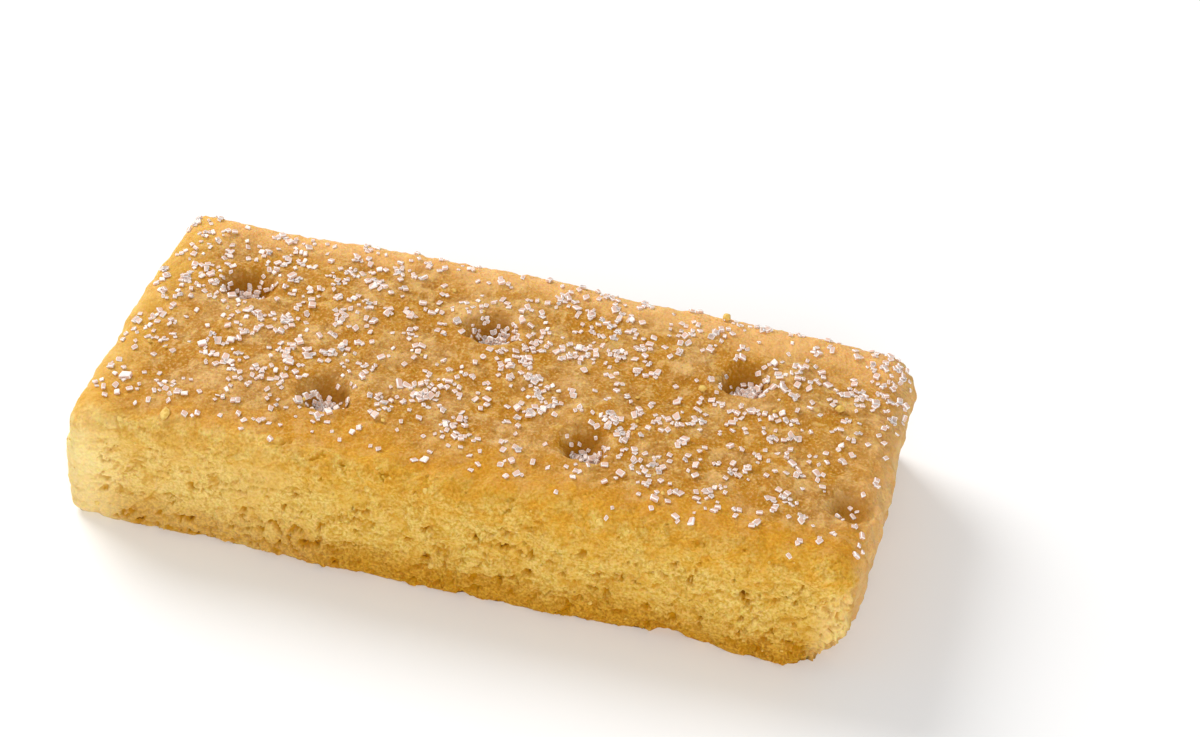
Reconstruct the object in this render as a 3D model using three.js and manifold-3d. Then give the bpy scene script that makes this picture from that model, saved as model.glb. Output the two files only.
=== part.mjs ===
// Shortbread finger: one thick, soft-edged bar of baked shortbread with two staggered rows of pricked holes.
// Millimetres. X runs along the finger, the cut long side faces -Y, +Z is up and the tray side lies at Z 0.

import * as THREE from 'three';
import { mergeVertices } from 'three/addons/utils/BufferGeometryUtils.js';
import Module from 'manifold-3d';

// Driving dimensions.
const LENGTH = 80;
const WIDTH = 35;
const HEIGHT = 14.1;

// Rounding of the edges: how far it reaches in from a side and down from the top, or up from the base.
const TOP_ROLL_IN = 3.2;
const TOP_ROLL_DOWN = 3.0;
const BASE_ROLL_IN = 1.5;
const BASE_ROLL_UP = 1.4;
// How much of the block's underside is trimmed off flat, so that the base is one plane.
const BASE_TRIM = 0.35;
// Share of that rounding at each corner, seen from above.
const CORNER_SHARE = { frontLeft: 0.7, frontRight: 0.95, backLeft: 0.45, backRight: 1.1 };

// How baking moved the bar away from a plain block.
const CROWN = 0.4;
const BACK_BOW = 0.6;
const LEFT_LEAN = 1.1;
const LEFT_BELLY = 1.1;
const LEFT_BOW = 0.5;
const RIGHT_UNDERCUT = 1.3;
const RIGHT_BOW = 0.5;
const END_REACH = 12;
const HILL_HEIGHT = 0.22;
const SIDE_WAVE = 0.15;

// The worn lower corner, front right.
const WEAR_REACH = 9;
const WEAR_DEPTH = 2.6;

// Pricked holes: two rows, the front one set half a pitch along from the back one.
const HOLE_PITCH = 26.9;
const BACK_ROW = { firstX: -30.3, y: 6.9 };
const FRONT_ROW = { firstX: -16.5, y: -7.7 };
const HOLES_PER_ROW = 3;
const HOLE_RADIUS = 2.6;
const HOLE_DEPTH = 2.7;
const HOLE_OVAL = 1.12;
const EDGE_HOLE_DEPTH = 1.5;
const HOLE_LIP = 0.9;
const HOLE_LIP_SPREAD = 1.55;

// How finely the surfaces are divided.
const STEPS_ALONG = 60;
const STEPS_ACROSS = 26;
const STEPS_UP = 9;
const HOLE_SIDES = 20;
const HOLE_CURVE_STEPS = 4;
const EDGE_CROWDING = 0.45;

const HALF_LENGTH = LENGTH / 2;
const HALF_WIDTH = WIDTH / 2;

const mix = (a, b, t) => a + (b - a) * t;
const clamp = THREE.MathUtils.clamp;
const smoothstep = THREE.MathUtils.smoothstep;

// A place on the plain block, from -1 to 1, moved nearer to the closer edge so that the rounding gets more steps.
function crowd(t) {
  return mix(t, Math.sin(t * Math.PI / 2), EDGE_CROWDING);
}

// Share of the rounding at a place seen from above, blended between the four corners.
function cornerShare(x, y) {
  const along = clamp(x / HALF_LENGTH, -1, 1) / 2 + 0.5;
  const across = clamp(y / HALF_WIDTH, -1, 1) / 2 + 0.5;
  const front = mix(CORNER_SHARE.frontLeft, CORNER_SHARE.frontRight, along);
  const back = mix(CORNER_SHARE.backLeft, CORNER_SHARE.backRight, along);
  return mix(front, back, across);
}

// A point of the plain block drawn in to the rounded edges and corners.
function roundEdges(point) {
  const up = point.z / HEIGHT;
  const share = cornerShare(point.x, point.y);
  const rollIn = mix(BASE_ROLL_IN, TOP_ROLL_IN * share, up);
  const rollDown = TOP_ROLL_DOWN * share;
  const core = new THREE.Vector3(
    clamp(point.x, -HALF_LENGTH + rollIn, HALF_LENGTH - rollIn),
    clamp(point.y, -HALF_WIDTH + rollIn, HALF_WIDTH - rollIn),
    clamp(point.z, BASE_ROLL_UP - BASE_TRIM, HEIGHT - rollDown),
  );
  const size = new THREE.Vector3(rollIn, rollIn, up > 0.5 ? rollDown : BASE_ROLL_UP);
  const out = point.clone().sub(core).divide(size);
  out.normalize().multiply(size);
  return core.add(out);
}

// The gentle hills that the crust baked into, as a height added to the top.
function hills(x, y) {
  const long = Math.sin(x / 6.1 + 0.9 * Math.sin(y / 5.2)) * Math.cos(y / 6.4 + 0.6);
  const short = Math.sin(x / 3.7 + y / 4.4 + 1.9) * Math.sin(y / 3.1 - x / 9.0);
  return HILL_HEIGHT * (long + 0.6 * short);
}

// The slow waves in the long sides.
function sideWave(x, phase) {
  return SIDE_WAVE * (Math.sin(x / 8.3 + phase) + 0.6 * Math.sin(x / 3.4 + 2.3 * phase));
}

// A point of the rounded block moved to the baked shape.
function bake(point) {
  const up = clamp(point.z / HEIGHT, 0, 1);
  const along = point.x / HALF_LENGTH;
  const across = point.y / HALF_WIDTH;
  const left = smoothstep(-point.x, HALF_LENGTH - END_REACH, HALF_LENGTH);
  const right = smoothstep(point.x, HALF_LENGTH - END_REACH, HALF_LENGTH);
  const front = smoothstep(-across, 0.2, 1);
  const back = smoothstep(across, 0.2, 1);
  const belly = Math.sin(Math.PI * Math.pow(up, 0.85));
  const baked = point.clone();
  const bow = 1 - across * across;
  baked.x -= left * (LEFT_LEAN * (1 - up) + LEFT_BELLY * belly + LEFT_BOW * bow);
  baked.x += right * (RIGHT_BOW * bow - RIGHT_UNDERCUT * (1 - up));
  baked.y += back * (BACK_BOW * (1 - along * along) * up + sideWave(point.x, 0.7));
  baked.y -= front * sideWave(point.x, 2.6);
  const topShare = smoothstep(up, 0.35, 1);
  baked.z += topShare * (CROWN * (1 - along * along) + hills(point.x, point.y));
  return wearCorner(baked);
}

// The lower corner at the front right, rubbed round.
function wearCorner(point) {
  const corner = new THREE.Vector3(HALF_LENGTH, -HALF_WIDTH, 0);
  const near = 1 - clamp(point.distanceTo(corner) / WEAR_REACH, 0, 1);
  const inward = new THREE.Vector3(-0.75, 0.65, 0.45);
  return point.addScaledVector(inward, WEAR_DEPTH * near * near);
}

// The bar before its holes are pricked.
function barGeometry() {
  const block = new THREE.BoxGeometry(2, 2, 2, STEPS_ALONG, STEPS_ACROSS, STEPS_UP);
  block.deleteAttribute('normal');
  block.deleteAttribute('uv');
  const bar = mergeVertices(block);
  const position = bar.getAttribute('position');
  for (let i = 0; i < position.count; i += 1) {
    const plain = new THREE.Vector3(
      crowd(position.getX(i)) * HALF_LENGTH,
      crowd(position.getY(i)) * HALF_WIDTH,
      mix(-BASE_TRIM, HEIGHT, crowd(position.getZ(i)) / 2 + 0.5),
    );
    const { x, y, z } = bake(roundEdges(plain));
    position.setXYZ(i, x, y, z);
  }
  return bar;
}

// What one peg of the docker leaves: a round-bottomed pit whose wall flares to a soft rim.
function holeGeometry(radius, depth) {
  const profile = new THREE.Path();
  profile.moveTo(0, -depth);
  profile.quadraticCurveTo(0.66 * radius, -depth, 0.78 * radius, -0.5 * depth);
  profile.quadraticCurveTo(0.9 * radius, 0, HOLE_LIP_SPREAD * radius, HOLE_LIP);
  profile.lineTo(0, HOLE_LIP);
  const lathe = new THREE.LatheGeometry(profile.getPoints(HOLE_CURVE_STEPS), HOLE_SIDES);
  lathe.rotateX(Math.PI / 2);
  lathe.scale(HOLE_OVAL, 1 / HOLE_OVAL, 1);
  lathe.deleteAttribute('normal');
  lathe.deleteAttribute('uv');
  return mergeVertices(lathe, 1e-3);
}

// Height of the baked top over a place well inside the edges.
function topHeight(x, y) {
  return bake(new THREE.Vector3(x, y, HEIGHT)).z;
}

// Every hole: where it is, how wide and how deep. The last of the front row runs off the rolled end.
function holePlaces() {
  const places = [];
  for (const row of [BACK_ROW, FRONT_ROW]) {
    for (let i = 0; i < HOLES_PER_ROW; i += 1) {
      const x = row.firstX + i * HOLE_PITCH;
      const atEnd = x > HALF_LENGTH - TOP_ROLL_IN;
      const depth = atEnd ? EDGE_HOLE_DEPTH : HOLE_DEPTH;
      places.push({ x, y: row.y, radius: HOLE_RADIUS, depth });
    }
  }
  return places;
}

const manifold = await Module();
manifold.setup();

function toSolid(geometry) {
  return new manifold.Manifold(new manifold.Mesh({
    numProp: 3,
    vertProperties: new Float32Array(geometry.getAttribute('position').array),
    triVerts: new Uint32Array(geometry.getIndex().array),
  }));
}

function toGeometry(solid) {
  const mesh = solid.getMesh();
  const geometry = new THREE.BufferGeometry();
  geometry.setAttribute('position', new THREE.BufferAttribute(mesh.vertProperties, 3));
  geometry.setIndex(new THREE.BufferAttribute(mesh.triVerts, 1));
  geometry.computeVertexNormals();
  return geometry;
}

// All the space above the tray, which the trimmed bar is cut to.
function aboveTray() {
  const reach = 2 * LENGTH;
  const box = new THREE.BoxGeometry(reach, reach, reach);
  box.translate(0, 0, reach / 2);
  box.deleteAttribute('normal');
  box.deleteAttribute('uv');
  return mergeVertices(box);
}

// The whole biscuit, pricked, then set down with the middle of its base on the origin.
function biscuitGeometry() {
  let solid = toSolid(barGeometry()).intersect(toSolid(aboveTray()));
  for (const { x, y, radius, depth } of holePlaces()) {
    const hole = holeGeometry(radius, depth);
    hole.translate(x, y, topHeight(x, y));
    solid = solid.subtract(toSolid(hole));
  }
  const geometry = toGeometry(solid);
  geometry.computeBoundingBox();
  const { min, max } = geometry.boundingBox;
  return geometry.translate(-(min.x + max.x) / 2, -(min.y + max.y) / 2, -min.z);
}

const bakedCrust = new THREE.MeshStandardMaterial({
  name: 'shortbread',
  color: 0xd9a75f,
  roughness: 0.7,
  metalness: 0,
});

const biscuit = new THREE.Mesh(biscuitGeometry(), bakedCrust);
biscuit.name = 'biscuit';

const part = new THREE.Group();
part.name = 'shortbread_biscuit';
part.add(biscuit);

export default part;
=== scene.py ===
import math

import bmesh
import bpy
import numpy as np
from mathutils import Matrix, Vector
from mathutils.bvhtree import BVHTree
from mathutils.geometry import delaunay_2d_cdt


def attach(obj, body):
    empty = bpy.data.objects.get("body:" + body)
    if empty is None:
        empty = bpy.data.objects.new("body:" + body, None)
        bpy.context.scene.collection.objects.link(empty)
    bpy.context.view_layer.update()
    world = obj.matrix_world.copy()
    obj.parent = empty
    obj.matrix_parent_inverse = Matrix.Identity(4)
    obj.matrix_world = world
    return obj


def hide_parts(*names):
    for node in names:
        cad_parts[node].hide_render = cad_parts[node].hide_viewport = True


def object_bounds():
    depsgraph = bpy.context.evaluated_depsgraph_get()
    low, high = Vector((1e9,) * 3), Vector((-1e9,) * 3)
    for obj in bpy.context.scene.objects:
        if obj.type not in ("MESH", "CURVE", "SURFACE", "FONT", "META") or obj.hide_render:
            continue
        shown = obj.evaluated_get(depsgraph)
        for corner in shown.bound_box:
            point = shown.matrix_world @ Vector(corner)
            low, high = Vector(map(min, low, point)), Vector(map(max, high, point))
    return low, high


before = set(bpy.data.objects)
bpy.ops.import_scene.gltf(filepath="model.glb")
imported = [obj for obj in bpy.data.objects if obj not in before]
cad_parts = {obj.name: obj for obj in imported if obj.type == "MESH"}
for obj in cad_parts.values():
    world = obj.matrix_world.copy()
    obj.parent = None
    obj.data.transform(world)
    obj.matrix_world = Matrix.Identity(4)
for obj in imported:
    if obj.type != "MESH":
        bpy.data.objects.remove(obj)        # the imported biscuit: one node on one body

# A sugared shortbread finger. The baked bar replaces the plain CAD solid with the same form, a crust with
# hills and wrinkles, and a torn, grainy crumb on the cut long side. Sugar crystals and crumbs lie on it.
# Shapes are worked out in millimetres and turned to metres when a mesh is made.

MM = 0.001
cad_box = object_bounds()
CAD_LOW = np.array(cad_box[0]) / MM
CAD_HIGH = np.array(cad_box[1]) / MM

# The bar, as in the part's source.
LENGTH = 80.0
WIDTH = 35.0
HEIGHT = 14.1
TOP_ROLL_IN = 3.2
TOP_ROLL_DOWN = 3.0
BASE_ROLL_IN = 1.5
BASE_ROLL_UP = 1.4
BASE_TRIM = 0.35
CORNER_SHARE = {"front_left": 0.7, "front_right": 0.95, "back_left": 0.45, "back_right": 1.1}
CROWN = 0.4
BACK_BOW = 0.6
LEFT_LEAN = 1.1
LEFT_BELLY = 1.1
LEFT_BOW = 0.5
RIGHT_UNDERCUT = 1.3
RIGHT_BOW = 0.5
END_REACH = 12.0
HILL_HEIGHT = 0.22
SIDE_WAVE = 0.15
WEAR_REACH = 9.0
WEAR_DEPTH = 2.6
HOLE_PITCH = 26.9
BACK_ROW = (-30.3, 6.9)
FRONT_ROW = (-16.5, -7.7)
HOLES_PER_ROW = 3
HOLE_DEPTH = 2.7
EDGE_HOLE_DEPTH = 1.5

# A pricked hole reaches furthest towards the back, where its wall slopes gently. Reaches are measured from
# its deepest place, which lies a little in front of the CAD hole's middle. Floor and rim are shares of the
# reach, and fullness is the share of the CAD hole's depth.
HOLE_SHIFT = -0.4
HOLE_HALF_LENGTH = 2.9
HOLE_REACH_FRONT = 2.1
HOLE_REACH_BACK = 3.4
HOLE_FLOOR = 0.25
HOLE_RIM = 1.06
HOLE_FULLNESS = 0.86
# The slight lip round a hole: its height, and its place and width as shares of the reach.
LIP_HEIGHT = 0.1
LIP_PLACE = 1.25
LIP_WIDTH = 0.22

# The wide bite out of the foot of the front, the one at its right corner, and how high all bites reach.
BITE_START = 20.4
BITE_END = 30.0
BITE_DEPTH = 1.2
CORNER_BITE = 1.3
BITE_HEIGHT = 2.6

# How far the walls waver in and out, and how ragged the torn corner at the front right is.
WALL_WAVE = 0.3
RAGGED_CORNER = 0.75

# How finely the bar is divided. The front is divided twice as finely as the rest. Base step is in the flat
# base, and map gap is between the sides on the bar's map.
STEPS_ALONG = 260
STEPS_ACROSS = 96
STEPS_UP = 46
EDGE_CROWDING = 0.12
BASE_STEP = 0.95
MAP_GAP = 1.0

HALF_LENGTH = LENGTH / 2
HALF_WIDTH = WIDTH / 2

# Size of the baked grain in the materials, in metres.
GRAIN_SIZE = 0.0003

# The torn crumb: its layers, its pores and cracks, and the grains between them.
LEDGE_STEP = 0.34
PORE_WIDTH = 1.35
PORE_DEPTH = 0.6
CRACK_DEPTH = 0.28
CRUMB_GRAIN = 0.8

# Sugar and crumbs. Tries and heap counts have one number for each layer that is laid. Crumbs cling to the cut
# side above the clinging floor.
SUGAR_SEED = 5
CRYSTAL_SIZE = 0.44
CRYSTAL_LIMITS = (0.3, 0.82)
SCATTER_TRIES = (10800, 3200, 560)
HEAP_COUNTS = (30, 28, 16)
CRUMB_SEED = 9
CLINGING_CRUMBS = 85
CLINGING_SIZE = 0.36
CLINGING_LIMITS = (0.2, 0.85)
CLINGING_FLOOR = 1.6
FINE_CRUMBS = 14
# The largest crumbs on top: place, size and stretch of each.
DROPPED_CRUMBS = (
    (20.6, 4.1, 1.1, (1.0, 0.8, 0.8)),
    (34.5, 5.3, 0.9, (1.1, 0.9, 0.9)),
    (20.4, 15.9, 0.8, (1.0, 1.0, 0.9)),
    (-29.8, -15.4, 1.2, (1.4, 0.8, 0.3)),
)


# ---- Numbers that vary over a surface ----

def mix(a, b, t):
    return a + (b - a) * t


def smooth(value, low, high):
    t = np.clip((value - low) / (high - low), 0, 1)
    return t * t * (3 - 2 * t)


def cell_numbers(cell, seed):
    """A whole number from 0 to 65535 for each row of whole-number places."""
    h = cell[:, 0] * 73856093 ^ cell[:, 1] * 19349663 ^ cell[:, 2] * 83492791 ^ (seed + 7) * 40503
    h = h & 0xFFFFFFFF
    h = (h ^ (h >> 15)) * 73244475 & 0xFFFFFFFF
    h = (h ^ (h >> 13)) * 62207633 & 0xFFFFFFFF
    return (h ^ (h >> 16)) & 0xFFFF


def noise(points, seed=0):
    """Smooth noise from about -1 to 1, with features about one unit across."""
    base = np.floor(points).astype(np.int64)
    local = points - base
    blend = local ** 3 * (local * (local * 6 - 15) + 10)
    total = np.zeros(len(points))
    for corner in np.ndindex(2, 2, 2):
        number = cell_numbers(base + corner, seed)
        turn = (number & 255) * (math.tau / 256)
        rise = (number >> 8) / 127.5 - 1
        flat = np.sqrt(1 - rise * rise)
        offset = local - corner
        slope = (offset[:, 0] * np.cos(turn) + offset[:, 1] * np.sin(turn)) * flat + offset[:, 2] * rise
        total += slope * np.prod(np.where(corner, blend, 1 - blend), axis=1)
    return 1.6 * total


def layered(points, layers, seed=0):
    """Noise with finer layers added, each half as wide and half as strong as the last."""
    return sum(noise(points * 2 ** n, seed + n) / 2 ** n for n in range(layers))


def grains(points, seed=0):
    """Distances to the nearest and the next of the scattered grain middles, and the nearest one's number."""
    base = np.floor(points).astype(np.int64)
    nearest = np.full(len(points), 9.0)
    following = np.full(len(points), 9.0)
    own = np.zeros(len(points))
    for step in np.ndindex(3, 3, 3):
        cell = base + step - 1
        first = cell_numbers(cell, seed)
        second = cell_numbers(cell, seed + 1)
        shift = np.stack([first & 255, first >> 8, second & 255], 1) / 255
        distance = np.linalg.norm(points - cell - shift, axis=1)
        closer = distance < nearest
        following = np.where(closer, nearest, np.minimum(following, distance))
        own = np.where(closer, (second >> 8) / 255, own)
        nearest = np.where(closer, distance, nearest)
    return nearest, following, own


# ---- The bar's form, as baked ----

def crowd(t):
    return mix(t, np.sin(t * math.pi / 2), EDGE_CROWDING)


def corner_share(x, y):
    along = np.clip(x / HALF_LENGTH, -1, 1) / 2 + 0.5
    across = np.clip(y / HALF_WIDTH, -1, 1) / 2 + 0.5
    front = mix(CORNER_SHARE["front_left"], CORNER_SHARE["front_right"], along)
    back = mix(CORNER_SHARE["back_left"], CORNER_SHARE["back_right"], along)
    return mix(front, back, across)


def round_edges(points):
    x, y, z = points.T
    up = z / HEIGHT
    share = corner_share(x, y)
    roll_in = mix(BASE_ROLL_IN, TOP_ROLL_IN * share, up)
    roll_down = TOP_ROLL_DOWN * share
    core = np.stack([
        np.clip(x, -HALF_LENGTH + roll_in, HALF_LENGTH - roll_in),
        np.clip(y, -HALF_WIDTH + roll_in, HALF_WIDTH - roll_in),
        np.clip(z, BASE_ROLL_UP - BASE_TRIM, HEIGHT - roll_down),
    ], 1)
    size = np.stack([roll_in, roll_in, np.where(up > 0.5, roll_down, BASE_ROLL_UP)], 1)
    out = (points - core) / size
    out /= np.linalg.norm(out, axis=1)[:, None]
    return core + out * size


def hills(x, y):
    long = np.sin(x / 6.1 + 0.9 * np.sin(y / 5.2)) * np.cos(y / 6.4 + 0.6)
    short = np.sin(x / 3.7 + y / 4.4 + 1.9) * np.sin(y / 3.1 - x / 9.0)
    return HILL_HEIGHT * (long + 0.6 * short)


def side_wave(x, phase):
    return SIDE_WAVE * (np.sin(x / 8.3 + phase) + 0.6 * np.sin(x / 3.4 + 2.3 * phase))


def wear_corner(points):
    """The lower corner at the front right, rubbed round."""
    corner = np.array([HALF_LENGTH, -HALF_WIDTH, 0])
    near = 1 - np.clip(np.linalg.norm(points - corner, axis=1) / WEAR_REACH, 0, 1)
    inward = np.array([-0.75, 0.65, 0.45])
    return points + inward * (WEAR_DEPTH * near * near)[:, None]


def bake(points):
    x, y, z = points.T
    up = np.clip(z / HEIGHT, 0, 1)
    along = x / HALF_LENGTH
    across = y / HALF_WIDTH
    left = smooth(-x, HALF_LENGTH - END_REACH, HALF_LENGTH)
    right = smooth(x, HALF_LENGTH - END_REACH, HALF_LENGTH)
    front = smooth(-across, 0.2, 1)
    back = smooth(across, 0.2, 1)
    belly = np.sin(math.pi * up ** 0.85)
    bow = 1 - across * across
    baked_x = x - left * (LEFT_LEAN * (1 - up) + LEFT_BELLY * belly + LEFT_BOW * bow)
    baked_x += right * (RIGHT_BOW * bow - RIGHT_UNDERCUT * (1 - up))
    baked_y = y + back * (BACK_BOW * (1 - along * along) * up + side_wave(x, 0.7))
    baked_y -= front * side_wave(x, 2.6)
    baked_z = z + smooth(up, 0.35, 1) * (CROWN * (1 - along * along) + hills(x, y))
    return wear_corner(np.stack([baked_x, baked_y, baked_z], 1))


def hole_places():
    """(x, y, depth) of each pricked hole. The last of the front row runs off the rolled end."""
    places = []
    for first_x, y in (BACK_ROW, FRONT_ROW):
        for i in range(HOLES_PER_ROW):
            x = first_x + i * HOLE_PITCH
            at_end = x > HALF_LENGTH - TOP_ROLL_IN
            places.append((x, y, EDGE_HOLE_DEPTH if at_end else HOLE_DEPTH))
    return places


def hole_distance(x, y, hole):
    """Distance from a hole's deepest place, as a share of its size that way: 1 is about its rim."""
    dx = (x - hole[0]) / (HOLE_HALF_LENGTH * (1 + 0.1 * math.sin(hole[0])))
    dy = y - hole[1] - HOLE_SHIFT
    dy = dy / np.where(dy > 0, HOLE_REACH_BACK, HOLE_REACH_FRONT)
    return np.hypot(dx, dy)


def prick(points, facing_up):
    """Pushes the holes into the top, each with a slight lip where the dough was shouldered aside."""
    sunk = points.copy()
    depth = np.zeros(len(points))
    ragged = 0.1 * noise(points / 1.6, 60) + 0.04 * noise(points / 0.6, 61)
    for hole in hole_places():
        distance = hole_distance(points[:, 0], points[:, 1], hole) + ragged
        share = 1 - smooth(distance, HOLE_FLOOR, HOLE_RIM)
        depth = np.maximum(depth, HOLE_FULLNESS * hole[2] * share ** 0.85)
        lip = np.exp(-((distance - LIP_PLACE) / LIP_WIDTH) ** 2)
        sunk[:, 2] += LIP_HEIGHT * lip * facing_up
    sunk[:, 2] -= depth * facing_up
    return sunk, depth * facing_up


def foot_bite(points):
    """How far the foot is eaten back: small bites all round, one at a corner, and a wide one in the front."""
    x, y, z = points.T
    small = 0.5 * smooth(layered(points * np.array([1, 1, 0.3]) / 3.4, 2, 111), -0.3, 0.9)
    small = np.maximum(small + 0.3 * noise(points / 1.1, 114), 0)
    small += CORNER_BITE * (1 - smooth(np.hypot(x - HALF_LENGTH, y + HALF_WIDTH), 1.5, 6.0))
    wide = smooth(x, BITE_START - 0.4, BITE_START + 0.3) * (1 - smooth(x, BITE_START, BITE_END))
    wide *= BITE_DEPTH * (y < 0)
    return (small + wide) * (1 - smooth(z, 0.2, BITE_HEIGHT))


# ---- The bar's mesh ----

# Each side: its two directions, the one it stands across, whether it is at that one's far end, and its turn.
SIDES = (
    ("top", "x", "y", "z", True, False),
    ("front", "x", "z", "y", False, False),
    ("back", "x", "z", "y", True, True),
    ("right", "y", "z", "x", True, False),
    ("left", "y", "z", "x", False, True),
)
SPANS = {
    "top": (LENGTH, WIDTH),
    "base": (LENGTH, WIDTH),
    "front": (LENGTH, HEIGHT),
    "back": (LENGTH, HEIGHT),
    "right": (WIDTH, HEIGHT),
    "left": (WIDTH, HEIGHT),
}
COUNTS = {"x": 2 * STEPS_ALONG, "y": 2 * STEPS_ACROSS, "z": 2 * STEPS_UP}
STRIDE = {"x": (COUNTS["y"] + 1) * (COUNTS["z"] + 1), "y": COUNTS["z"] + 1, "z": 1}


def map_spots(side, along, up):
    """Spots on the bar's map, where each side lies in a row of its own, all at one scale."""
    rows = list(SPANS)
    start = sum(SPANS[row][1] + MAP_GAP for row in rows[:rows.index(side)]) + MAP_GAP / 2
    whole = sum(span[1] + MAP_GAP for span in SPANS.values())
    width, height = SPANS[side]
    return np.stack([MAP_GAP / 2 + along * width, start + up * height], -1) / whole


def side_faces(name, first, second, fixed, far, turned):
    """The faces of one side, each as rows of a place's number and its spot on the map.

    The front's steps are half as long, so a face of another side that meets it has a fifth corner there.
    """
    step = 1 if name == "front" else 2
    a, b = np.meshgrid(np.arange(0, COUNTS[first], step), np.arange(0, COUNTS[second], step), indexing="ij")
    turn = ((0, 0), (0, 1), (1, 1), (1, 0)) if turned else ((0, 0), (1, 0), (1, 1), (0, 1))
    start = COUNTS[fixed] * STRIDE[fixed] if far else 0
    corners = []
    for add_a, add_b in turn:
        at_a, at_b = a.ravel() + step * add_a, b.ravel() + step * add_b
        number = start + at_a * STRIDE[first] + at_b * STRIDE[second]
        spots = map_spots(name, at_a / COUNTS[first], at_b / COUNTS[second])
        corners.append(np.column_stack([number, spots]))
    corners = np.stack(corners, 1)
    faces = list(corners)
    if step == 2:
        on_front = corners[:, :, 0] // STRIDE["y"] % (COUNTS["y"] + 1) == 0
        shared = on_front & np.roll(on_front, -1, 1)
        for n in np.flatnonzero(shared.any(1)):
            c = int(shared[n].argmax())
            middle = (corners[n, c] + corners[n, (c + 1) % 4]) / 2
            faces[n] = np.insert(corners[n], c + 1, middle, 0)
    return faces


def bar_grid():
    """Places on the plain block, the faces of its top and sides, their map spots, and the places' steps."""
    corners = [face for side in SIDES for face in side_faces(*side)]
    rows = np.concatenate(corners)
    numbers, index = np.unique(rows[:, 0].astype(np.int64), return_inverse=True)
    ends = np.cumsum([len(face) for face in corners])[:-1]
    faces = [part.tolist() for part in np.split(index.ravel(), ends)]
    i, rest = np.divmod(numbers, STRIDE["x"])
    j, k = np.divmod(rest, STRIDE["y"])
    places = np.stack([
        crowd(2 * i / COUNTS["x"] - 1) * HALF_LENGTH,
        crowd(2 * j / COUNTS["y"] - 1) * HALF_WIDTH,
        mix(-BASE_TRIM, HEIGHT, crowd(2 * k / COUNTS["z"] - 1) / 2 + 0.5),
    ], 1)
    return places, faces, rows[:, 1:], (i, j, k)


def outline_order(i, j, k):
    """The lowest ring of the sides, in order round the base."""
    lowest = {(int(i[n]), int(j[n])): int(n) for n in np.flatnonzero(k == 0)}
    along, across = COUNTS["x"], COUNTS["y"]
    ring = [(a, 0) for a in range(along)]
    ring += [(along, b) for b in range(0, across, 2)]
    ring += [(a, across) for a in range(along, 0, -2)]
    ring += [(0, b) for b in range(across, 0, -2)]
    return [lowest[place] for place in ring]


def base_mesh(outline):
    """The flat base inside its outline: extra points and triangles that look down."""
    low, high = outline.min(0), outline.max(0)
    xs = np.arange(low[0] + BASE_STEP, high[0], BASE_STEP)
    ys = np.arange(low[1] + BASE_STEP, high[1], BASE_STEP)
    inner = np.stack(np.meshgrid(xs, ys), -1).reshape(-1, 2)
    inner += 0.25 * BASE_STEP * np.sin(inner[:, ::-1] * 7.3)
    near = np.array([np.abs(outline - p).max(1).min() for p in inner])
    inner = inner[near > 0.6 * BASE_STEP]
    count = len(outline)
    verts = [Vector(p) for p in np.concatenate([outline, inner])]
    edges = [(n, (n + 1) % count) for n in range(count)]
    _, _, tris, origin, _, _ = delaunay_2d_cdt(verts, edges, [], 1, 1e-6)
    source = [o[0] for o in origin]
    return inner, [(source[c], source[b], source[a]) for a, b, c in tris]


def point_normals(mesh, points):
    """Moves the mesh to these points and gives the way it faces at each."""
    mesh.vertices.foreach_set("co", points.ravel().astype(np.float32))
    mesh.update()
    facing = np.empty(3 * len(points), np.float32)
    mesh.vertex_normals.foreach_get("vector", facing)
    return facing.reshape(-1, 3).astype(float)


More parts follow.
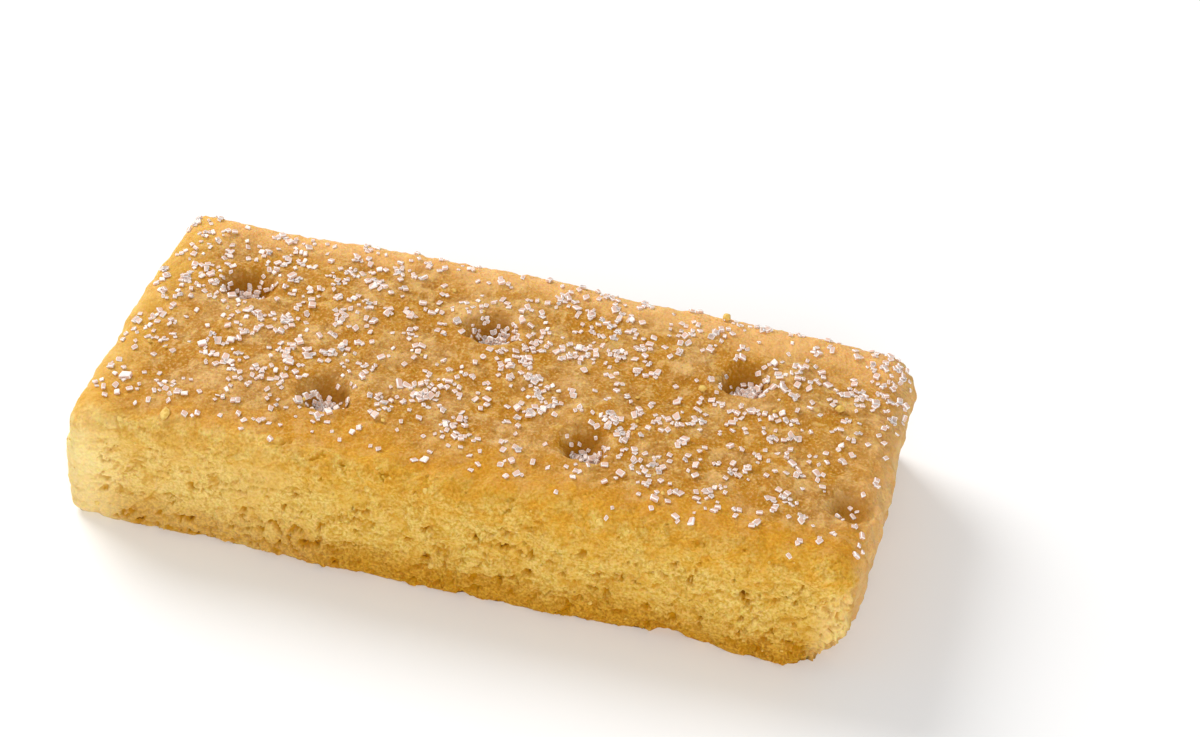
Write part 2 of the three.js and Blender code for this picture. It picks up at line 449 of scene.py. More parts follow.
def crumb_relief(p):
    """Height of the torn crumb, and how far each place is darkened: its cracks' own stain with painted shade,
    painted shade in its pores, darkest at their bottoms, and painted shadow under ledges and between grains.

    Its layers and cracks lie nearly flat. It is calmer towards the left end and under the crust.
    """
    bend = 0.3 * np.stack([noise(p / 1.1, seed) for seed in (11, 12, 13)], 1)
    bend += 0.2 * np.stack([noise(p / 0.42, seed) for seed in (14, 15, 16)], 1)
    lying = p + bend
    lying[:, 2] = 1.5 * (lying[:, 2] - 0.12 * lying[:, 0])
    high = smooth(p[:, 2], 8.0, 13.0)
    low = 1 - smooth(p[:, 2], 1.0, 6.5)
    level = 1.9 * layered(lying / 4.2, 2, 21) + 0.3
    rise = level - np.floor(level)
    ledge = LEDGE_STEP * (np.floor(level) + smooth(rise, 0.86, 1.0))
    # Painted shadow under each ledge, used for the colour only.
    ledge_shadow = smooth(rise, 0.64, 0.82) * (1 - smooth(rise, 0.86, 0.96))
    calm = smooth(-p[:, 0], 12.0, 34.0)
    limit = 0.5 + (0.2 + 0.16 * calm) * high + 0.06 * calm - 0.2 * low + 0.24 * noise(p / 4.0, 32)
    hollow = layered(lying / PORE_WIDTH, 3, 33)
    pore = smooth(hollow - limit, 0.0, 0.06)
    thin = np.abs(noise(lying * np.array([1, 1, 1.7]) / 2.8, 41))
    there = smooth(noise(p / 2.4, 42), 0.15, 0.42) * (1 - 0.4 * high)
    crack = (1 - smooth(thin, 0.04, 0.13)) * there
    near, following, own = grains(lying / CRUMB_GRAIN, 51)
    # Painted shadow in the gaps between the grains, used for the colour only.
    grain_gap_shadow = 1 - smooth(following - near, 0.0, 0.22)
    height = ledge + 0.12 * (own - 0.5) + 0.12 * (0.5 - near) + 0.06 * noise(p / 0.9, 56)
    height -= PORE_DEPTH * pore + CRACK_DEPTH * crack
    # The cracks' own stain, spread wider than the cracks as painted shade.
    crack_stain_and_shade = (1 - smooth(thin, 0.05, 0.18)) * there
    # Stain and painted shade in pores and cracks, and painted shadow under ledges and between grains; deepest
    # in pores.
    shallow_stain_and_shade = np.maximum(np.maximum(pore, 0.75 * crack_stain_and_shade), np.maximum(0.2 * grain_gap_shadow, 0.6 * ledge_shadow))
    pore_stain_and_shade = 0.62 * shallow_stain_and_shade + 0.38 * smooth(hollow - limit, 0.3, 0.5)
    return (0.9 - 0.25 * high) * (1 - 0.25 * calm) * height, pore_stain_and_shade


def crust_relief(p):
    lumps = 0.17 * noise(p / 3.0, 81) + 0.14 * noise(p / 1.4, 82) + 0.09 * noise(p / 0.72, 83)
    fold = np.abs(noise(p * np.array([0.35, 0.75, 0.5]) + 0.3 * noise(p / 2.0, 84)[:, None], 85))
    return lumps + 0.16 * noise(p / 6.5, 86) - 0.1 * (1 - smooth(fold, 0.0, 0.25))


def tray_relief(p):
    """Fine upright ridges, as the dough leaves them along the wall of its tray."""
    upright = p * np.array([1.9, 1.9, 0.25])
    at_right = smooth(p[:, 0], 34.0, 38.0)
    ridges = (1 + 0.8 * at_right) * (0.14 * noise(upright, 91) + 0.26 * noise(upright * 0.5, 92))
    return ridges + 0.06 * noise(p / 0.8, 93) + 0.22 * at_right * noise(p / 1.7, 94)


def bar_masks(formed, facing, hole, pore_stain_and_shade, relief):
    """Where each look of the bar shows, from 0 to 1 at every point."""
    x, y, z = formed.T
    wander = noise(formed / 4.5, 101) + 0.5 * noise(formed / 1.5, 102)
    fine = wander + 0.7 * noise(formed / 0.7, 103)
    forward = -y + 0.6 * np.clip(-facing[:, 2], 0, 1)
    front = smooth(forward + 0.7 * fine, 14.6, 17.0)
    left = smooth(-facing[:, 0], 0.5, 0.95) * smooth(HEIGHT + 0.7 + 1.1 * wander - z, 0, 4.2)
    tray = np.maximum(smooth(facing[:, 0], 0.45, 0.85), smooth(facing[:, 1], 0.45, 0.85))
    crumb = np.clip(front + 0.5 * left, 0, 1)
    band = smooth(-y + 2.2 * wander, 8.5, 16.5) * mix(0.55, 1.0, smooth(x, -36.0, 0.0))
    corner = smooth(x + 0.9 * wander, 34.5, 38.5) * smooth(-y, 14.0, 17.0)
    corner = corner * (1 - smooth(z + wander, 8.5, 12.0))
    back = y + 0.12 * np.maximum(x - 8.0, 0)
    back_rim = smooth(back + 1.2 * wander, 11.5, 16.5)
    rim = np.maximum(back_rim, 0.6 * smooth(x + 0.8 * wander, 35.5, 39.5))
    torn = smooth(forward + 0.5 * fine, 13.6, 15.8) * (1 - 0.75 * smooth(-x + 0.6 * wander, 35.5, 39.0))
    # Paler towards the left end: partly the crumb's own pale colour, partly painted light from the left.
    pale_and_lit = np.maximum(smooth(-x + wander, 31.0, 39.5), 0.4 * smooth(-x + 3.0 * wander, 2.0, 24.0))
    return {
        "crumb": crumb,
        "torn": np.clip(torn + 0.25 * left, 0, 1),
        # Stain and painted shade in the pores and cracks of the torn crumb.
        "pore_stain_and_shade": pore_stain_and_shade * torn * (1 - 0.75 * left),
        "relief": relief,
        "hole": hole / HOLE_DEPTH,
        "tray": tray * (1 - crumb),
        "band": band * (1 - smooth(HEIGHT + 1.2 * wander - z, 0.6, 5.4)),
        "rim": rim * (1 - band),
        "pale_and_lit": np.maximum(pale_and_lit, 0.9 * corner),
        "foot": 1 - smooth(z - 1.1 * wander, 1.2, 6.4),
    }


def bar_surface():
    """The bar's points, faces, map, steps and masks, and how far it was moved to its place in the frame."""
    places, faces, spots, grid = bar_grid()
    formed = bake(round_edges(places))
    shaping = bpy.data.meshes.new("shaping")
    shaping.from_pydata(formed.tolist(), [], faces)
    facing = point_normals(shaping, formed)
    pricked, hole = prick(formed, smooth(facing[:, 2], 0.3, 0.8))
    below_top = HEIGHT - formed[:, 2]
    wave = WALL_WAVE * noise(formed / np.array([4.6, 4.6, 9.0]), 116) * smooth(below_top, -0.5, 2.0)
    pricked[:, :2] += facing[:, :2] * (wave - foot_bite(formed))[:, None]
    torn, pore_stain_and_shade = crumb_relief(formed)
    masks = bar_masks(formed, facing, hole, pore_stain_and_shade, crust_relief(formed))
    facing = point_normals(shaping, pricked)
    bpy.data.meshes.remove(shaping)
    corner = np.clip(-facing[:, 1], 0, 1) * np.clip(facing[:, 0], 0, 1) * 2
    ragged = RAGGED_CORNER * layered(formed / 1.1, 3, 95) * corner * smooth(below_top, 1.0, 4.0)
    plain = mix(masks["relief"], tray_relief(formed), masks["tray"])
    relief = mix(plain, torn, masks.pop("torn")) + ragged
    points = pricked + facing * (relief * mix(0.3, 1, smooth(formed[:, 2], 0.0, 0.8)))[:, None]
    points[grid[2] == 0, 2] = 0
    points[:, 2] = np.maximum(points[:, 2], 0)
    middle = (formed.min(0) + formed.max(0)) / 2
    centre = (CAD_LOW + CAD_HIGH) / 2
    shift = np.array([centre[0] - middle[0], centre[1] - middle[1], CAD_LOW[2]])
    return points + shift, faces, spots, grid, masks, shift


def make_object(name, points, faces, smooth_shading=True):
    mesh = bpy.data.meshes.new(name)
    mesh.from_pydata((points * MM).tolist(), [], faces)
    mesh.validate()
    if smooth_shading:
        mesh.shade_smooth()
    made = bpy.data.objects.new(name, mesh)
    bpy.context.scene.collection.objects.link(made)
    return made


def add_mask(made, name, values):
    layer = made.data.attributes.new(name, "FLOAT", "POINT")
    layer.data.foreach_set("value", values.astype(np.float32))


def build_bar():
    """The baked bar in one closed skin, with its masks and map. Its base has shallow pores."""
    points, faces, spots, grid, masks, shift = bar_surface()
    ring = outline_order(*grid)
    inner, tris = base_mesh(points[ring][:, :2])
    inner_z = 0.2 * smooth(noise(np.column_stack([inner / 1.9, np.zeros(len(inner))]), 121), 0.15, 0.6)
    count = len(points)
    number = np.concatenate([ring, np.arange(count, count + len(inner))])
    base = [[int(number[n]) for n in tri] for tri in tris]
    points = np.concatenate([points, np.column_stack([inner, inner_z])])
    bar = make_object("shortbread_bar", points, faces + base)
    for name, values in masks.items():
        at_base = 1.0 if name == "foot" else 0.0
        add_mask(bar, name, np.concatenate([values, np.full(len(inner), at_base)]))
    under = points[np.array(base).ravel()]
    under = map_spots("base", under[:, 0] / LENGTH + 0.5, under[:, 1] / WIDTH + 0.5)
    bar_map = bar.data.uv_layers.new(name="OFBake")
    bar_map.data.foreach_set("uv", np.concatenate([spots, under]).astype(np.float32).ravel())
    return bar, shift


# ---- Sugar and crumbs ----

CRYSTAL_CORNERS = np.array([(a, b, c) for a in (-1, 1) for b in (-1, 1) for c in (-1, 1)], float)
CRYSTAL_POINTS = 3 * len(CRYSTAL_CORNERS)

# Height from which sugar and crumbs are dropped, and the least that a surface faces up where they stay.
DROP_HEIGHT = 40.0
LEAST_FACING_UP = 0.3


def crystal_shape(rng, middle_size):
    """One sugar crystal: a short, slightly slanted prism, one end narrower, its edges rubbed off."""
    size = float(np.clip(rng.lognormal(math.log(middle_size), 0.2), *CRYSTAL_LIMITS))
    half = size / 2 * np.array([rng.uniform(0.9, 1.4), rng.uniform(0.8, 1.1), rng.uniform(0.4, 0.7)])
    rub = size * rng.uniform(0.12, 0.18)
    points = []
    for corner in CRYSTAL_CORNERS:
        for axis in range(3):
            inset = np.full(3, rub)
            inset[axis] = 0
            points.append(corner * (half - inset))
    points = np.array(points)
    points[:, 1] *= 1 - rng.uniform(0, 0.35) * points[:, 0] / half[0] * 0.5
    points[:, 0] += rng.normal(0, 0.16) * points[:, 1]
    return points + rng.normal(0, 0.018 * size, (CRYSTAL_POINTS, 3))


def crystal_faces():
    """The plain and the rubbed faces of a crystal. Its corner n has a point for each axis, from 3 n on."""
    def corner(a, b, c):
        return 4 * a + 2 * b + c

    plain, rubbed = [], []
    for axis in range(3):
        u, v = (axis + 1) % 3, (axis + 2) % 3
        for side in (0, 1):
            ring = []
            for b, c in ((0, 0), (1, 0), (1, 1), (0, 1)):
                place = [0, 0, 0]
                place[axis], place[u], place[v] = side, b, c
                ring.append(3 * corner(*place) + axis)
            plain.append(ring if side else ring[::-1])
        for b in (0, 1):
            for c in (0, 1):
                low, high = [0, 0, 0], [0, 0, 0]
                low[u], low[v] = b, c
                high[axis], high[u], high[v] = 1, b, c
                low, high = corner(*low), corner(*high)
                strip = [3 * low + u, 3 * high + u, 3 * high + v, 3 * low + v]
                rubbed.append(strip if (b + c) % 2 == 1 else strip[::-1])
    for n in range(len(CRYSTAL_CORNERS)):
        tip = [3 * n, 3 * n + 1, 3 * n + 2]
        odd = (n >> 2 & 1) + (n >> 1 & 1) + (n & 1)
        rubbed.append(tip if odd % 2 == 1 else tip[::-1])
    return plain, rubbed


def sugar_density(x, y):
    """How thickly the sugar lies, from 0 to 1: in drifts, and thin along the cut side and the very edges."""
    at = np.column_stack([x, y, np.zeros(len(x))])
    drift = smooth(layered(at / 5.0, 2, 131), -0.45, 0.75)
    strings = smooth(noise(at / 1.5, 133), -0.2, 0.7)
    front = smooth(y + 2.0 * noise(at / 3.4, 134), -HALF_WIDTH + 1.0, -HALF_WIDTH + 10.0)
    at_valley = smooth(np.hypot(x - HALF_LENGTH + 2, y - FRONT_ROW[1]), 1.5, 4.0)
    back = smooth(-y + 0.8 * noise(at / 3.0, 135), -HALF_WIDTH - 0.5, -HALF_WIDTH + 3.0)
    ends = smooth(HALF_LENGTH + 0.5 - np.abs(x), 0.0, 2.2)
    thick = mix(0.08, 1.0, drift) * mix(0.22, 1.0, strings)
    thick = thick * mix(0.02, 1.0, front) * mix(0.12, 1.0, back)
    return thick * mix(0.3, 1.0, ends) * mix(0.1, 1.0, at_valley)


def lay_down(rng, tree, x, y, shape):
    """Lays a crystal or crumb on what is under it, or returns None where nothing faces up."""
    spot, normal, _, _ = tree.ray_cast(Vector((x, y, DROP_HEIGHT)), Vector((0, 0, -1)))
    lean = Vector((rng.normal(0, 0.16), rng.normal(0, 0.16), 1)).normalized()
    spin = Matrix.Rotation(rng.uniform(0, math.tau), 3, "Z")
    if spot is None or normal.z < LEAST_FACING_UP:
        return None
    up = (normal + lean - Vector((0, 0, 1))).normalized()
    turn = up.to_track_quat("Z", "Y").to_matrix() @ spin
    lift = 0.4 * np.ptp(shape[:, 2])
    return shape @ np.array(turn).T + np.array(spot + up * lift)


def scattered_places(rng, shift, tries):
    """Random places on the top, kept as often as the sugar lies thickly there."""
    x = rng.uniform(-HALF_LENGTH, HALF_LENGTH, tries)
    y = rng.uniform(-HALF_WIDTH, HALF_WIDTH + 0.4, tries)
    kept = rng.uniform(0, 1, tries) < sugar_density(x, y)
    return np.column_stack([x, y])[kept] + shift[:2]


def heaped_places(rng, shift, layer):
    """Random places in the holes, where the sugar slid down and heaped towards the front."""
    places = []
    for x, y, depth in hole_places():
        count = HEAP_COUNTS[layer] if depth == HOLE_DEPTH else 1
        spread = rng.normal(0, 1, (count, 2)) * (0.95 - 0.1 * layer, 0.55)
        places.append(spread + (x + shift[0], y + shift[1] + HOLE_SHIFT + 0.45))
    return np.concatenate(places)


def build_sugar(bar, shift):
    """All the sugar crystals, in layers: each lies on the bar or on the crystals of the layers before."""
    rng = np.random.default_rng(SUGAR_SEED)
    plain, rubbed = crystal_faces()
    bar_points = np.array([v.co for v in bar.data.vertices]) / MM
    tree_faces = [tuple(p.vertices) for p in bar.data.polygons]
    tree_points = bar_points
    laid_all = []
    for layer, tries in enumerate(SCATTER_TRIES):
        tree = BVHTree.FromPolygons([Vector(p) for p in tree_points], tree_faces)
        places = np.concatenate([scattered_places(rng, shift, tries), heaped_places(rng, shift, layer)])
        for x, y in places:
            laid = lay_down(rng, tree, x, y, crystal_shape(rng, CRYSTAL_SIZE))
            if laid is None:
                continue
            start = len(bar_points) + CRYSTAL_POINTS * len(laid_all)
            tree_faces += [tuple(start + c for c in face) for face in plain]
            laid_all.append(laid)
        tree_points = np.concatenate([bar_points] + laid_all)
    starts = range(0, CRYSTAL_POINTS * len(laid_all), CRYSTAL_POINTS)
    faces = [[start + c for c in face] for start in starts for face in plain + rubbed]
    sugar = make_object("sugar_crystals", np.concatenate(laid_all), faces, smooth_shading=False)
    is_rubbed = np.tile([0] * len(plain) + [1] * len(rubbed), len(laid_all))
    sugar.data.polygons.foreach_set("material_index", is_rubbed.astype(np.int32))
    return sugar


def crumb_shape(rng, size, stretch=(1.0, 1.0, 1.0)):
    """One loose crumb: a small lump with an uneven skin."""
    ball = bmesh.new()
    bmesh.ops.create_icosphere(ball, subdivisions=2, radius=size / 2)
    points = np.array([v.co for v in ball.verts])
    faces = [[v.index for v in f.verts] for f in ball.faces]
    ball.free()
    own = rng.uniform(0, 1000, 3)
    push = 1 + 0.42 * noise(points / size * 1.6 + own, 7) + 0.16 * noise(points / size * 4.5 + own, 8)
    squeeze = rng.uniform(0.7, 1.15, 3) * stretch
    return points * push[:, None] * squeeze, faces


def build_crumbs(bar):
    """Loose crumbs: most cling to the torn front and foot, a few dropped on the sugared top."""
    rng = np.random.default_rng(CRUMB_SEED)
    vertices = bar.data.vertices
    points = np.array([v.co for v in vertices]) / MM
    facing = np.array([v.normal for v in vertices])
    crumb, pore_stain_and_shade = (np.array([v.value for v in bar.data.attributes[name].data]) for name in ("crumb", "pore_stain_and_shade"))
    level = (crumb > 0.7) & (pore_stain_and_shade < 0.15) & (points[:, 2] > CLINGING_FLOOR)
    clinging = rng.choice(np.flatnonzero(level), CLINGING_CRUMBS, replace=False)
    lumps = []
    for n in clinging:
        size = float(np.clip(rng.lognormal(math.log(CLINGING_SIZE), 0.35), *CLINGING_LIMITS))
        shape, faces = crumb_shape(rng, size)
        lumps.append((shape + points[n] - facing[n] * 0.08 * size, faces))
    tree = BVHTree.FromPolygons([Vector(p) for p in points], [tuple(p.vertices) for p in bar.data.polygons])
    for x, y, size, stretch in DROPPED_CRUMBS:
        shape, faces = crumb_shape(rng, size, stretch)
        lumps.append((lay_down(rng, tree, x, y, shape), faces))
    for x, y in rng.uniform((-38, -14), (38, 16), (FINE_CRUMBS, 2)):
        shape, faces = crumb_shape(rng, float(rng.uniform(0.25, 0.5)))
        laid = lay_down(rng, tree, x, y, shape)
        if laid is not None:
            lumps.append((laid, faces))
    starts = np.cumsum([0] + [len(shape) for shape, _ in lumps])
    faces = [[int(start) + c for c in face] for (_, own), start in zip(lumps, starts) for face in own]
    return make_object("loose_crumbs", np.concatenate([shape for shape, _ in lumps]), faces)


# ---- Materials ----

def new_material(name):
    material = bpy.data.materials.new(name)
    material.use_nodes = True
    tree = material.node_tree
    tree.nodes.clear()
    out = tree.nodes.new("ShaderNodeOutputMaterial")
    shader = tree.nodes.new("ShaderNodeBsdfPrincipled")
    tree.links.new(shader.outputs["BSDF"], out.inputs["Surface"])
    return material, tree, shader


def node(tree, kind, inputs=None, **settings):
    made = tree.nodes.new(kind)
    for name, value in settings.items():
        setattr(made, name, value)
    for name, value in (inputs or {}).items():
        if isinstance(value, bpy.types.NodeSocket):
            tree.links.new(value, made.inputs[name])
        else:
            made.inputs[name].default_value = value
    return made


def tint(tree, base, share, colour):
    """The base colour moved towards another by a share that varies over the surface."""
    made = node(tree, "ShaderNodeMix", {0: share}, data_type="RGBA")
    for index, value in ((6, base), (7, colour)):
        if isinstance(value, bpy.types.NodeSocket):
            tree.links.new(value, made.inputs[index])
        else:
            made.inputs[index].default_value = value
    return made.outputs[2]


def ramp(tree, value, low, high, start=0.0, end=1.0):
    return node(tree, "ShaderNodeMapRange", {0: value, 1: low, 2: high, 3: start, 4: end}).outputs[0]


def mask(tree, name):
    return node(tree, "ShaderNodeAttribute", attribute_name=name).outputs["Fac"]


def rgb(r, g, b):
    """A colour as a screen shows it, from 0 to 255, for a shader."""
    line = [c / 255 / 12.92 if c / 255 <= 0.04045 else ((c / 255 + 0.055) / 1.055) ** 2.4 for c in (r, g, b)]
    return (*line, 1.0)


# The crust: painted shade in its hollows and wrinkles, its own tan on its swells, then in mottles,
# blotches and flecks.
CRUST_HOLLOW_SHADE = rgb(156, 100, 8)
CRUST_SWELL = rgb(213, 166, 94)
MOTTLE_BROWN = rgb(188, 128, 12)
MOTTLE_TAN = rgb(226, 180, 116)
BLOTCH_BROWN = rgb(180, 120, 20)
BLOTCH_TAN = rgb(228, 188, 120)
FLECK_TAN = rgb(230, 192, 126)
FLECK_BROWN = rgb(148, 92, 6)
# The crust at its places: rims, the band over the cut side, the pale end with painted light from the left,
# painted shade in the holes, the tray sides, and the cracks' stain with painted shade.
RIM_TAN = rgb(236, 184, 116)
BAND_GOLD = rgb(208, 146, 36)
END_GOLD_AND_LIT = rgb(228, 178, 78)
HOLE_SHADE = rgb(160, 104, 2)
TRAY_SHADE = rgb(210, 160, 92)
TRAY_TAN = rgb(226, 184, 120)
CRUST_CRACK_STAIN_AND_SHADE = rgb(196, 132, 8)
# The crumb: its two tones, its mottles, its foot, the pale end with painted light from the left, and the
# stain and painted shade in its pores and cracks, darkest as painted shade at the pores' bottoms.
CRUMB_GOLD = rgb(204, 160, 58)
CRUMB_CREAM = rgb(232, 202, 116)
CRUMB_MOTTLE = rgb(216, 162, 48)
CRUMB_BLOTCH = rgb(214, 160, 48)
FOOT_BROWN = rgb(162, 104, 0)
FOOT_GOLD = rgb(208, 154, 36)
END_CREAM_AND_LIT = rgb(252, 230, 166)
PORE_STAIN_AND_SHADE = rgb(192, 134, 0)
PORE_BOTTOM_SHADE = rgb(118, 70, 0)
TOAST_BROWN = rgb(198, 136, 18)
TOAST_GOLD = rgb(224, 166, 44)
LOOSE_GOLD = rgb(214, 168, 66)
LOOSE_CREAM = rgb(234, 200, 110)
# The sugar: its faces painted with the crust's colour as seen through them, its edges white as a painted
# highlight.
SUGAR_SEEN_THROUGH = rgb(238, 200, 182)
SUGAR_EDGE_HIGHLIGHT = rgb(255, 246, 241)


def grain_group():
    """Fine baked grain: an even speckle, blotches several grains wide, a broad mottle, and its height."""
    group = bpy.data.node_groups.new("baked_grain", "ShaderNodeTree")
    group.interface.new_socket("Size", in_out="INPUT", socket_type="NodeSocketFloat")
    for name in ("Speckle", "Blotch", "Mottle", "Height"):
        group.interface.new_socket(name, in_out="OUTPUT", socket_type="NodeSocketFloat")
    given = group.nodes.new("NodeGroupInput")
    result = group.nodes.new("NodeGroupOutput")
    place = node(group, "ShaderNodeTexCoord").outputs["Object"]
    count = node(group, "ShaderNodeMath", {0: 1.0, 1: given.outputs["Size"]}, operation="DIVIDE").outputs[0]
    even = node(group, "ShaderNodeVectorMath", {0: place, "Scale": count}, operation="SCALE").outputs[0]
    speckle = node(group, "ShaderNodeTexNoise", {"Vector": even, "Scale": 1.0, "Detail": 3.0}).outputs["Fac"]
    blotch = node(group, "ShaderNodeTexNoise", {"Vector": even, "Scale": 0.2, "Detail": 3.0}).outputs["Fac"]
    mottle = node(group, "ShaderNodeTexNoise", {"Vector": even, "Scale": 0.07, "Detail": 2.0}).outputs["Fac"]
    cell = node(group, "ShaderNodeTexVoronoi", {"Vector": even, "Scale": 0.8}).outputs["Distance"]
    height = node(group, "ShaderNodeMath", {0: speckle, 1: cell}, operation="SUBTRACT").outputs[0]
    group.links.new(speckle, result.inputs["Speckle"])
    group.links.new(blotch, result.inputs["Blotch"])
    group.links.new(mottle, result.inputs["Mottle"])
    group.links.new(height, result.inputs["Height"])
    return group


def add_grain(tree, group, size):
    made = node(tree, "ShaderNodeGroup", {}, node_tree=group)
    made.inputs["Size"].default_value = size
    return made.outputs


def crust_colour(tree, grain):
    blotch, speckle = grain["Blotch"], grain["Speckle"]
    # Painted shade: the crust is darker where its relief is low, in its hollows and wrinkles.
    colour = tint(tree, CRUST_HOLLOW_SHADE, ramp(tree, mask(tree, "relief"), -0.34, 0.3), CRUST_SWELL)
    colour = tint(tree, colour, ramp(tree, grain["Mottle"], 0.46, 0.58, 0.0, 0.8), MOTTLE_BROWN)
    colour = tint(tree, colour, ramp(tree, grain["Mottle"], 0.46, 0.36, 0.0, 0.4), MOTTLE_TAN)
    colour = tint(tree, colour, ramp(tree, blotch, 0.48, 0.6, 0.0, 0.5), BLOTCH_BROWN)
    colour = tint(tree, colour, ramp(tree, blotch, 0.46, 0.38, 0.0, 0.45), BLOTCH_TAN)
    colour = tint(tree, colour, ramp(tree, speckle, 0.52, 0.66, 0.0, 0.5), FLECK_TAN)
    colour = tint(tree, colour, ramp(tree, speckle, 0.42, 0.28, 0.0, 0.55), FLECK_BROWN)
    colour = tint(tree, colour, ramp(tree, mask(tree, "rim"), 0.0, 1.0, 0.0, 0.75), RIM_TAN)
    colour = tint(tree, colour, ramp(tree, mask(tree, "band"), 0.0, 0.9, 0.0, 0.62), BAND_GOLD)
    # The left end and the torn corner paler: partly their own colour, partly painted light from the left.
    colour = tint(tree, colour, ramp(tree, mask(tree, "pale_and_lit"), 0.5, 1.0, 0.0, 0.6), END_GOLD_AND_LIT)
    # Painted shade in the pricked holes, darker the deeper they go.
    colour = tint(tree, colour, ramp(tree, mask(tree, "hole"), 0.03, 0.45, 0.0, 0.85), HOLE_SHADE)
    ridge = tint(tree, TRAY_SHADE, ramp(tree, blotch, 0.3, 0.7), TRAY_TAN)
    colour = tint(tree, colour, mask(tree, "tray"), ridge)
    # The cracks' stain with painted shade, where the crust meets the torn crumb.
    return tint(tree, colour, ramp(tree, mask(tree, "pore_stain_and_shade"), 0.1, 0.7, 0.0, 0.6), CRUST_CRACK_STAIN_AND_SHADE)


def crumb_colour(tree, grain):
    fleck = ramp(tree, grain["Speckle"], 0.34, 0.62)
    colour = tint(tree, CRUMB_GOLD, fleck, CRUMB_CREAM)
    colour = tint(tree, colour, ramp(tree, grain["Mottle"], 0.48, 0.6, 0.0, 0.4), CRUMB_MOTTLE)
    colour = tint(tree, colour, ramp(tree, grain["Blotch"], 0.5, 0.62, 0.0, 0.3), CRUMB_BLOTCH)
    low = tint(tree, FOOT_BROWN, fleck, FOOT_GOLD)
    colour = tint(tree, colour, ramp(tree, mask(tree, "foot"), 0.0, 1.0, 0.0, 0.9), low)
    # The left end and the left of the cut side paler: partly their own colour, partly painted light from the
    # left.
    colour = tint(tree, colour, ramp(tree, mask(tree, "pale_and_lit"), 0.15, 1.0, 0.0, 0.62), END_CREAM_AND_LIT)
    # Stain and painted shade in the pores and cracks, then the pores' bottoms darkest as painted shade.
    colour = tint(tree, colour, ramp(tree, mask(tree, "pore_stain_and_shade"), 0.08, 0.6, 0.0, 0.9), PORE_STAIN_AND_SHADE)
    return tint(tree, colour, ramp(tree, mask(tree, "pore_stain_and_shade"), 0.64, 0.92, 0.0, 0.9), PORE_BOTTOM_SHADE)


def toasted(tree, grain, colour):
    """The colour where the cut side meets the crust, browned in small patches."""
    patchy = ramp(tree, grain["Blotch"], 0.4, 0.6, 0.1, 0.7)
    share = node(tree, "ShaderNodeMath", {0: mask(tree, "band"), 1: patchy}, operation="MULTIPLY").outputs[0]
    brown = tint(tree, TOAST_BROWN, ramp(tree, grain["Speckle"], 0.34, 0.64), TOAST_GOLD)
    return tint(tree, colour, share, brown)


def bar_material(group):
    material, tree, shader = new_material("baked_shortbread")
    grain = add_grain(tree, group, GRAIN_SIZE)
    colour = tint(tree, crust_colour(tree, grain), mask(tree, "crumb"), crumb_colour(tree, grain))
    tree.links.new(toasted(tree, grain, colour), shader.inputs["Base Color"])
    tree.links.new(ramp(tree, mask(tree, "crumb"), 0.0, 1.0, 0.6, 0.8), shader.inputs["Roughness"])
    shader.inputs["Specular IOR Level"].default_value = 0.13
    shader.inputs["Subsurface Weight"].default_value = 0.8
    shader.inputs["Subsurface Radius"].default_value = (1.0, 0.5, 0.12)
    shader.inputs["Subsurface Scale"].default_value = 0.00027
    bump = node(tree, "ShaderNodeBump", {"Height": grain["Height"], "Strength": 0.75, "Distance": 0.00013})
    tree.links.new(bump.outputs["Normal"], shader.inputs["Normal"])
    return material


def loose_crumb_material(group):
    material, tree, shader = new_material("loose_crumb")
    grain = add_grain(tree, group, GRAIN_SIZE)
    colour = tint(tree, LOOSE_GOLD, ramp(tree, grain["Speckle"], 0.35, 0.6), LOOSE_CREAM)
    tree.links.new(colour, shader.inputs["Base Color"])
    shader.inputs["Roughness"].default_value = 0.8
    bump = node(tree, "ShaderNodeBump", {"Height": grain["Height"], "Strength": 0.3, "Distance": 0.0001})
    tree.links.new(bump.outputs["Normal"], shader.inputs["Normal"])
    return material


def sugar_material(name, colour, roughness):
    """What the faces and the edges of the crystals share: light goes in and is scattered."""
    material, _, shader = new_material(name)
    shader.inputs["Base Color"].default_value = colour
    shader.inputs["Roughness"].default_value = roughness
    shader.inputs["Subsurface Weight"].default_value = 0.6
    shader.inputs["Subsurface Radius"].default_value = (1.0, 0.9, 0.85)
    shader.inputs["Subsurface Scale"].default_value = 0.0004
    return material, shader


def sugar_materials():
    """Clear crystal faces, painted with the crust's colour as seen through them, and rubbed edges painted
    white as a highlight.
    """
    clear, shader = sugar_material("sugar_faces_seen_through", SUGAR_SEEN_THROUGH, roughness=0.25)
    shader.inputs["IOR"].default_value = 1.54
    shader.inputs["Transmission Weight"].default_value = 0.1
    # Painted highlight: the white of the rubbed edges stands for the crystals' bright outlines.
    edge, _ = sugar_material("sugar_edges_painted_highlight", SUGAR_EDGE_HIGHLIGHT, roughness=0.35)
    return clear, edge


# ---- Stage ----

CAMERA_TARGET = (5.865, 20.887, 0.0)
CAMERA_AZIMUTH = 13.005
CAMERA_ELEVATION = 39.911
CAMERA_ROLL = 2.83
CAMERA_DISTANCE = 303.3
CAMERA_LENS = 82.5


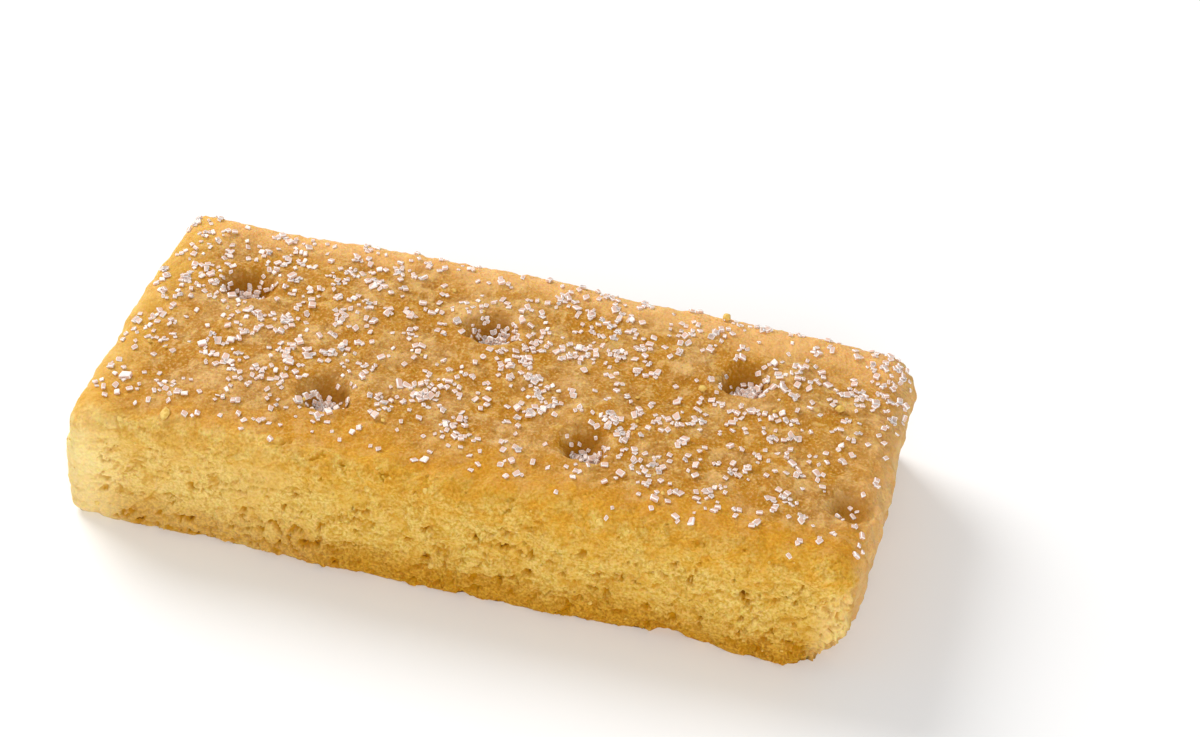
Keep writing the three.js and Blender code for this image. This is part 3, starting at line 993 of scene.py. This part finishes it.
def build_camera():
    azimuth, elevation = math.radians(CAMERA_AZIMUTH), math.radians(CAMERA_ELEVATION)
    back = Vector((
        math.sin(azimuth) * math.cos(elevation),
        -math.cos(azimuth) * math.cos(elevation),
        math.sin(elevation),
    ))
    right = Vector((math.cos(azimuth), math.sin(azimuth), 0))
    turn = Matrix((right, back.cross(right), back)).transposed()
    turn = turn @ Matrix.Rotation(math.radians(CAMERA_ROLL), 3, "Z")
    camera = bpy.data.objects.new("camera", bpy.data.cameras.new("camera"))
    camera.data.lens = CAMERA_LENS
    camera.data.clip_start = 0.01
    place = (Vector(CAMERA_TARGET) + back * CAMERA_DISTANCE) * MM
    camera.matrix_world = Matrix.Translation(place) @ turn.to_4x4()
    bpy.context.scene.collection.objects.link(camera)
    bpy.context.scene.camera = camera


def add_light(name, place, size, power, colour=(1, 1, 1)):
    """A round lamp at a place in metres, turned towards the middle of the base."""
    light = bpy.data.lights.new(name, "AREA")
    light.shape = "DISK"
    light.size = size
    light.energy = power
    light.color = colour
    made = bpy.data.objects.new(name, light)
    made.location = place
    made.rotation_euler = Vector(place).to_track_quat("Z", "Y").to_euler()
    bpy.context.scene.collection.objects.link(made)


FLOOR_REACH = 1500.0


def build_stage():
    far = FLOOR_REACH
    corners = np.array([(-far, -far, 0), (far, -far, 0), (far, far, 0), (-far, far, 0)])
    floor = make_object("floor", corners, [(0, 1, 2, 3)], smooth_shading=False)
    material, _, shader = new_material("pale_floor")
    shader.inputs["Base Color"].default_value = (0.86, 0.86, 0.86, 1)
    shader.inputs["Emission Color"].default_value = (1, 1, 1, 1)
    shader.inputs["Emission Strength"].default_value = 0.08
    shader.inputs["Roughness"].default_value = 0.8
    floor.data.materials.append(material)
    world = bpy.data.worlds.new("soft_room")
    world.use_nodes = True
    world.node_tree.nodes["Background"].inputs["Color"].default_value = (1, 1, 1, 1)
    world.node_tree.nodes["Background"].inputs["Strength"].default_value = 0.48
    bpy.context.scene.world = world
    add_light("key", (-0.4, 0.28, 0.38), size=0.36, power=3.2, colour=(1.0, 0.985, 0.965))
    add_light("front_fill", (0.2, -0.5, 0.33), size=0.4, power=1.9)
    bpy.context.scene.view_settings.view_transform = "Standard"


bar, bar_shift = build_bar()
sugar = build_sugar(bar, bar_shift)
crumbs = build_crumbs(bar)
baked_grain = grain_group()
bar.data.materials.append(bar_material(baked_grain))
crumbs.data.materials.append(loose_crumb_material(baked_grain))
for finish in sugar_materials():
    sugar.data.materials.append(finish)

for piece, slot in ((bar, "shortbread"), (crumbs, "shortbread"), (sugar, "sugar")):
    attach(piece, "root")
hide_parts("biscuit")

build_camera()
build_stage()
